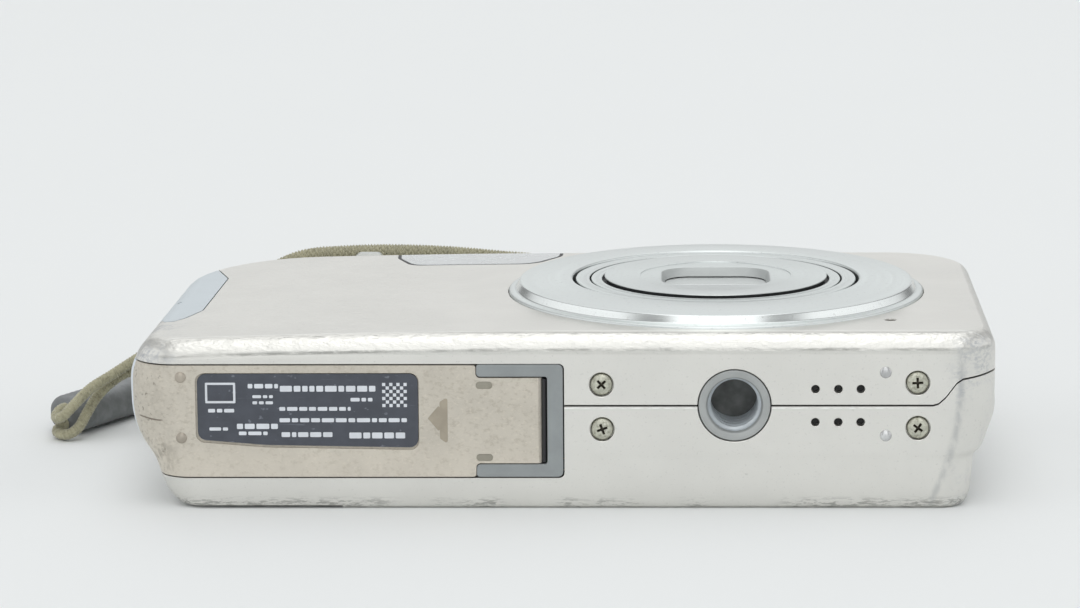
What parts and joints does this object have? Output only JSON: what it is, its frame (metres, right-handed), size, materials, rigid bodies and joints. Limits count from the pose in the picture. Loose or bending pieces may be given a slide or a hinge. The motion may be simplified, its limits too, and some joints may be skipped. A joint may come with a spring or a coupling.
{
  "type": "compact digital camera",
  "caption": "Slim pocket digital camera with a retractable zoom lens, sliding and hinged battery door, screen, buttons and a wrist strap.",
  "frame": {"origin": "centre of the base, the screen side, which the camera lies on, measured without the free strap", "axes": "+Z along the lens axis out of the front face, +X to the right when the front face is seen with the underside at the bottom, -Y out of the underside with the battery door and tripod socket"},
  "size_m": [0.1116, 0.0738, 0.0217],
  "materials": {
    "cover_silver": "warm light silver satin paint over metal, worn along the edges",
    "door_champagne": "champagne painted plastic",
    "bezel_slate": "slate grey moulded plastic",
    "label_dark": "dark slate printed plate with plain pale bars",
    "trim_silver": "bluish silver plastic",
    "lens_aluminium": "turned and brushed aluminium with a polished edge",
    "cap_aluminium": "satin aluminium",
    "steel": "nickel plated steel",
    "black_plastic": "black moulded plastic",
    "grey_plastic": "dark grey moulded plastic",
    "clear_glass": "clear window",
    "screen_glass": "dark glossy screen window",
    "board_green": "green circuit board",
    "battery_wrap": "dark grey battery case",
    "button_silver": "silver painted buttons",
    "control_aluminium": "satin aluminium control",
    "strap_khaki": "olive khaki braided cord",
    "sleeve_grey": "dark grey soft plastic sleeve"
  },
  "bodies": {
    "camera_body": {"front_cover": "cover_silver", "rear_cover": "cover_silver", "side_trim": "trim_silver", "flash_window": "clear_glass", "door_bezel": "bezel_slate", "bottom_screw_1": "steel", "bottom_screw_2": "steel", "bottom_screw_3": "steel", "bottom_screw_4": "steel", "tripod_socket": "steel", "bottom_bracket": "steel", "speaker": "black_plastic", "lens_bezel": "lens_aluminium", "lens_housing": "black_plastic", "zoom_motor": "steel", "image_sensor": "black_plastic", "battery_case": "black_plastic", "battery": "battery_wrap", "flash_capacitor": "black_plastic", "card_socket": "steel", "memory_card": "battery_wrap", "main_board": "board_green", "control_board": "board_green", "top_board": "board_green", "lcd_window": "screen_glass", "lcd_panel": "black_plastic", "flash_reflector": "cap_aluminium", "flash_tube": "clear_glass", "microphone": "steel", "usb_port": "steel", "strap_lug": "steel", "strap_loop": "strap_khaki", "strap_sleeve": "sleeve_grey", "wrist_band": "strap_khaki"},
    "hinge_plate": {"door_hinge_plate": "steel"},
    "door": {"battery_door": "door_champagne", "label_plate": "label_dark"},
    "barrel_outer": {"barrel_outer": "cap_aluminium"},
    "barrel_middle": {"barrel_middle": "cap_aluminium"},
    "barrel_inner": {"barrel_inner": "black_plastic", "lens_carrier": "black_plastic", "lens_front_cap": "cap_aluminium", "front_lens": "clear_glass", "shutter_unit": "black_plastic"},
    "blade_far": {"barrier_blade_far": "button_silver"},
    "blade_near": {"barrier_blade_near": "button_silver"},
    "cam_ring": {"cam_ring": "grey_plastic"},
    "zoom_gear": {"zoom_gear": "grey_plastic"},
    "focus_lens": {"rear_lens": "clear_glass"},
    "shutter_button": {"shutter_button": "control_aluminium"},
    "zoom_lever": {"zoom_lever": "control_aluminium"},
    "power_button": {"power_button": "control_aluminium"},
    "rec_button": {"rec_button": "button_silver"},
    "play_button": {"play_button": "button_silver"},
    "menu_button": {"menu_button": "button_silver"},
    "scene_button": {"scene_button": "button_silver"},
    "control_pad": {"control_pad": "button_silver"},
    "set_button": {"set_button": "button_silver"},
    "battery_catch": {"battery_catch": "grey_plastic"}
  },
  "joints": [
    {"name": "door_hinge", "type": "hinge", "parent": "camera_body", "child": "hinge_plate", "pos_m": [-0.0018, -0.0279, 0.0101], "axis": [0, 0, 1], "range_deg": [0, 100]},
    {"name": "door_slide", "type": "slide", "parent": "hinge_plate", "child": "door", "axis": [-1, 0, 0], "range_m": [0, 0.0023]},
    {"name": "lens_extend", "type": "slide", "parent": "camera_body", "child": "barrel_outer", "axis": [0, 0, 1], "range_m": [0, 0.008]},
    {"name": "middle_extend", "type": "slide", "parent": "barrel_outer", "child": "barrel_middle", "axis": [0, 0, 1], "range_m": [0, 0.008]},
    {"name": "inner_extend", "type": "slide", "parent": "barrel_middle", "child": "barrel_inner", "axis": [0, 0, 1], "range_m": [0, 0.006]},
    {"name": "blade_far_open", "type": "slide", "parent": "barrel_inner", "child": "blade_far", "axis": [0, 1, 0], "range_m": [0, 0.0052]},
    {"name": "blade_near_open", "type": "slide", "parent": "barrel_inner", "child": "blade_near", "axis": [0, -1, 0], "range_m": [0, 0.0052]},
    {"name": "cam_ring_turn", "type": "hinge", "parent": "camera_body", "child": "cam_ring", "pos_m": [0.0177, -0.00134, 0.012], "axis": [0, 0, 1], "range_deg": [0, 60.5]},
    {"name": "zoom_gear_turn", "type": "hinge", "parent": "camera_body", "child": "zoom_gear", "pos_m": [0.03543, -0.01622, 0.008], "axis": [0, 0, 1], "range_deg": [-214.6, 0]},
    {"name": "focus_slide", "type": "slide", "parent": "camera_body", "child": "focus_lens", "axis": [0, 0, 1], "range_m": [0, 0.001]},
    {"name": "shutter_press", "type": "slide", "parent": "camera_body", "child": "shutter_button", "axis": [0, -1, 0], "range_m": [0, 0.0004], "stiffness_N_per_m": 600},
    {"name": "zoom_lever_turn", "type": "hinge", "parent": "camera_body", "child": "zoom_lever", "pos_m": [-0.025, 0.0261, 0.0105], "axis": [0, 1, 0], "range_deg": [-18, 18], "stiffness_Nm_per_rad": 0.03},
    {"name": "power_press", "type": "slide", "parent": "camera_body", "child": "power_button", "axis": [0, -1, 0], "range_m": [0, 0.0004], "stiffness_N_per_m": 600},
    {"name": "rec_press", "type": "slide", "parent": "camera_body", "child": "rec_button", "axis": [0, 0, 1], "range_m": [0, 0.0003], "stiffness_N_per_m": 600},
    {"name": "play_press", "type": "slide", "parent": "camera_body", "child": "play_button", "axis": [0, 0, 1], "range_m": [0, 0.0003], "stiffness_N_per_m": 600},
    {"name": "menu_press", "type": "slide", "parent": "camera_body", "child": "menu_button", "axis": [0, 0, 1], "range_m": [0, 0.0003], "stiffness_N_per_m": 600},
    {"name": "scene_press", "type": "slide", "parent": "camera_body", "child": "scene_button", "axis": [0, 0, 1], "range_m": [0, 0.0003], "stiffness_N_per_m": 600},
    {"name": "set_press", "type": "slide", "parent": "camera_body", "child": "set_button", "axis": [0, 0, 1], "range_m": [0, 0.0003], "stiffness_N_per_m": 600},
    {"name": "pad_tilt", "type": "hinge", "parent": "camera_body", "child": "control_pad", "pos_m": [-0.034, -0.001, 0.0011], "axis": [1, 0, 0], "range_deg": [-1.5, 1.5], "stiffness_Nm_per_rad": 0.05},
    {"name": "catch_slide", "type": "slide", "parent": "camera_body", "child": "battery_catch", "axis": [1, 0, 0], "range_m": [0, 0.002], "stiffness_N_per_m": 200}
  ],
  "couplings": [
    {"joint": "middle_extend", "follows": "lens_extend", "ratio": 1},
    {"joint": "inner_extend", "follows": "lens_extend", "ratio": 0.75},
    {"joint": "blade_far_open", "follows": "lens_extend", "ratio": 0.65},
    {"joint": "blade_near_open", "follows": "lens_extend", "ratio": 0.65},
    {"joint": "cam_ring_turn", "follows": "lens_extend", "rad_per_m": 130.9},
    {"joint": "zoom_gear_turn", "follows": "lens_extend", "rad_per_m": -466}
  ]
}
